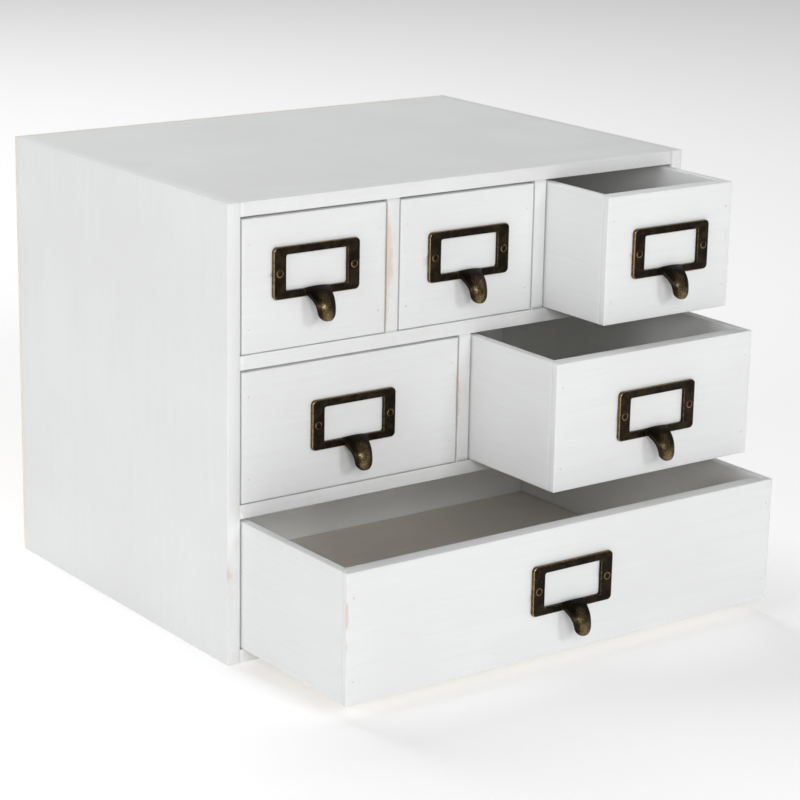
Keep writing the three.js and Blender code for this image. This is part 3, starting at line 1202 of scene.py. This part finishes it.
@dataclass
class Drawer:
    """A drawer: a front lapped over two sides, a back, a bottom in grooves, and its label holder."""

    name: str
    seed: int
    rubs: dict[str, tuple[Rub, ...]] = field(default_factory=dict)
    ease: float = 0.45 * MM
    brads_per_side: int = 3
    brad_set_back: float = 6.6 * MM
    brad_inset: float = 9 * MM
    pin_inset: float = 4.5 * MM

    @property
    def body(self) -> str:
        """The body that the drawer's pieces ride on."""
        return f"drawer_{self.name}"

    def build(self, shop: Workshop) -> None:
        """Builds the drawer."""
        wood = shop.finishes.wood
        grains = {"front": Grain.X, "side_left": Grain.Y, "side_right": Grain.Y, "back": Grain.X}
        for i, (part, grain) in enumerate(grains.items()):
            node = f"{self.name}_{part}"
            rubs = self.rubs.get(part, ())
            board = Board(
                node, self.body, grain, self.seed + i, ease=self.ease, cut_spacing=7 * MM, rubs=rubs
            )
            board.build(wood[grain])
        bottom = Board(
            f"{self.name}_bottom", self.body, Grain.X, self.seed + 5, slot=Slot.PLYWOOD, ease=0.2 * MM,
            cut_spacing=20 * MM,
        )
        bottom.build(shop.finishes.ply)
        shop.holder.place(shop.casting, f"{self.name}_label_holder", self.body, self.seed + 6)
        self._set_screws(shop)
        self._set_brads(shop)
        self._set_pins(shop)

    def _set_screws(self, shop: Workshop) -> None:
        """Sets the two screws of the label holder."""
        nodes = [f"{self.name}_screw_left", f"{self.name}_screw_right"]
        _, holder_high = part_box(f"{self.name}_label_holder")
        face = holder_high.y - shop.holder.thickness
        spots = []
        for node in nodes:
            low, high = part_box(node)
            middle = (low + high) / 2
            spots.append(Spot(Vector((middle.x, face, middle.z)), Vector((0, -1, 0))))
        tool = FastenerSet(seed=self.seed, spread=0.0)
        piece = tool.build(f"{self.name}_screws", shop.screw, spots, shop.finishes.screw, shop.set_tree)
        write_shift(piece.data, self.seed + 7)
        finish_piece(piece, self.body, nodes)

    def _set_brads(self, shop: Workshop) -> None:
        """Sets the brads that pin the front and the back to the sides."""
        spots = []
        for side, out in (("side_left", -1.0), ("side_right", 1.0)):
            low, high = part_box(f"{self.name}_{side}")
            front_low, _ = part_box(f"{self.name}_front")
            x = low.x if out < 0 else high.x
            facing = Vector((out, 0, 0))
            for z in evenly(low.z + self.brad_inset, high.z - self.brad_inset, self.brads_per_side):
                spots.append(Spot(Vector((x, front_low.y + self.brad_set_back, z)), facing))
                spots.append(Spot(Vector((x, high.y - 2.5 * MM, z)), facing))
        tool = FastenerSet(seed=self.seed + 1, spread=0.22)
        wood = shop.finishes.wood[Grain.Y]
        piece = tool.build(f"{self.name}_brads", shop.brad, spots, wood, shop.set_tree)
        write_wear(piece.data, 1.0, 0.0, HEAD_PATTERN)
        finish_piece(piece, self.body)

    def _set_pins(self, shop: Workshop) -> None:
        """Sets the four small pins that hold the front, their heads bare of paint."""
        low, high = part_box(f"{self.name}_front")
        rise = high.z - low.z
        spots = [
            Spot(Vector((x, low.y, low.z + rise * share)), Vector((0, -1, 0)))
            for x in (low.x + self.pin_inset, high.x - self.pin_inset)
            for share in (0.18, 0.81)
        ]
        tool = FastenerSet(seed=self.seed + 2, spread=0.2)
        wood = shop.finishes.wood[Grain.X]
        piece = tool.build(f"{self.name}_pins", shop.pin, spots, wood, shop.set_tree)
        write_wear(piece.data, 0.0, 0.9, self.seed + 8)
        finish_piece(piece, self.body)


# ---- Studio ----


def away(azimuth: float, elevation: float) -> Vector:
    """The direction from the cabinet towards something round it: azimuth 0 is in front, negative left."""
    a, e = math.radians(azimuth), math.radians(elevation)
    return Vector((math.sin(a) * math.cos(e), -math.cos(a) * math.cos(e), math.sin(e)))


@dataclass(frozen=True)
class Softbox:
    """A square soft light aimed at the cabinet.

    azimuth: In degrees, 0 in front of the cabinet and negative to its left.
    elevation: In degrees.
    """

    name: str
    azimuth: float
    elevation: float
    size: float
    power: float
    distance: float = 3.0
    aim: tuple[float, float, float] = (0.0, -0.1, 0.12)

    def build(self) -> None:
        """Adds the light."""
        light = bpy.data.lights.new(self.name, "AREA")
        light.shape, light.size, light.energy = "SQUARE", self.size, self.power
        lamp = bpy.data.objects.new(self.name, light)
        back = away(self.azimuth, self.elevation)
        lamp.location = Vector(self.aim) + back * self.distance
        lamp.rotation_euler = (-back).to_track_quat("-Z", "Y").to_euler()
        bpy.context.scene.collection.objects.link(lamp)


@dataclass
class Studio:
    """Camera, soft lights and a plain pale floor."""

    camera_place: tuple[float, float, float] = (-0.8596, -1.2281, 0.5245)
    azimuth: float = -36.284
    elevation: float = 15.778
    roll: float = 1.087
    lens: float = 114.07
    floor_size: float = 14.0
    lights: tuple[Softbox, ...] = (
        Softbox("front_left", -25, 20, 1.2, 30.0),
        Softbox("left", -85, 20, 1.2, 21.5),
        Softbox("front", 10, 22, 0.6, 18.0),
        Softbox("high_back", 180, 50, 1.5, 46.0),
    )
    sky: float = 0.17

    def camera(self) -> None:
        """Adds the camera."""
        data = bpy.data.cameras.new("camera")
        data.lens, data.sensor_width, data.clip_start, data.clip_end = self.lens, 36.0, 0.05, 60.0
        camera = bpy.data.objects.new("camera", data)
        back = away(self.azimuth, self.elevation)
        turned = Quaternion((0, 0, 1), math.radians(self.roll))
        camera.rotation_mode = "QUATERNION"
        camera.rotation_quaternion = (-back).to_track_quat("-Z", "Y") @ turned
        camera.location = self.camera_place
        bpy.context.scene.collection.objects.link(camera)
        bpy.context.scene.camera = camera

    def floor(self) -> None:
        """Adds the floor, just under the cabinet."""
        bm = bmesh.new()
        bmesh.ops.create_grid(bm, x_segments=1, y_segments=1, size=self.floor_size / 2)
        bm.transform(Matrix.Translation((0, 0, -0.2 * MM)))
        floor = new_object("studio_floor", to_mesh(bm, "studio_floor"))
        floor.data.materials.append(StudioFloor().make("studio_floor"))

    def world(self) -> None:
        """Sets a faint even sky."""
        world = bpy.data.worlds.new("studio")
        bpy.context.scene.world = world
        world.use_nodes = True
        s = Sketch(world.node_tree)
        sky = s.add("ShaderNodeBackground", {"Color": (1, 1, 1, 1), "Strength": self.sky})
        s.add("ShaderNodeOutputWorld", {"Surface": sky.outputs[0]})

    def build(self) -> None:
        """Sets up the whole studio."""
        self.camera()
        self.floor()
        self.world()
        for light in self.lights:
            light.build()
        view = bpy.context.scene.view_settings
        view.view_transform, view.look, view.exposure, view.gamma = "Standard", "None", 0.0, 1.0


# ---- The cabinet ----


def drawers() -> list[Drawer]:
    """The six drawers from the top, with where each is worn."""
    nick = (3 * MM, 3 * MM, 3.5 * MM)
    nicks = ((0.88, 0.45), (0.74, 0.8), (0.62, 0.7), (0.46, 0.35), (0.31, 0.75), (0.14, 0.4))
    bottom_corner = tuple(Rub((0.0, 0.0, place), nick, strength) for place, strength in nicks)
    lower_edge = (Rub((0.5, 0.5, 0.0), (6 * MM, 150 * MM, 4 * MM), 0.25),)
    right_gap = (Rub((1.0, 0.0, 0.6), (3 * MM, 3 * MM, 30 * MM), 0.4),)
    return [
        Drawer("top_left", 100, {"front": right_gap}),
        Drawer("top_middle", 120),
        Drawer("top_right", 140),
        Drawer("middle_left", 160, {"front": right_gap}),
        Drawer("middle_right", 180),
        Drawer("bottom", 200, {"front": bottom_corner, "side_left": lower_edge}),
    ]


def main() -> None:
    """Builds the studio and the cabinet, and notes the sizes."""
    logging.basicConfig(level=logging.INFO, format="%(name)s: %(message)s")
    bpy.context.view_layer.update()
    Studio().build()
    shop = open_workshop()
    Carcass().build(shop)
    for drawer in drawers():
        drawer.build(shop)
    shop.close()


if __name__ == "__main__":
    main()
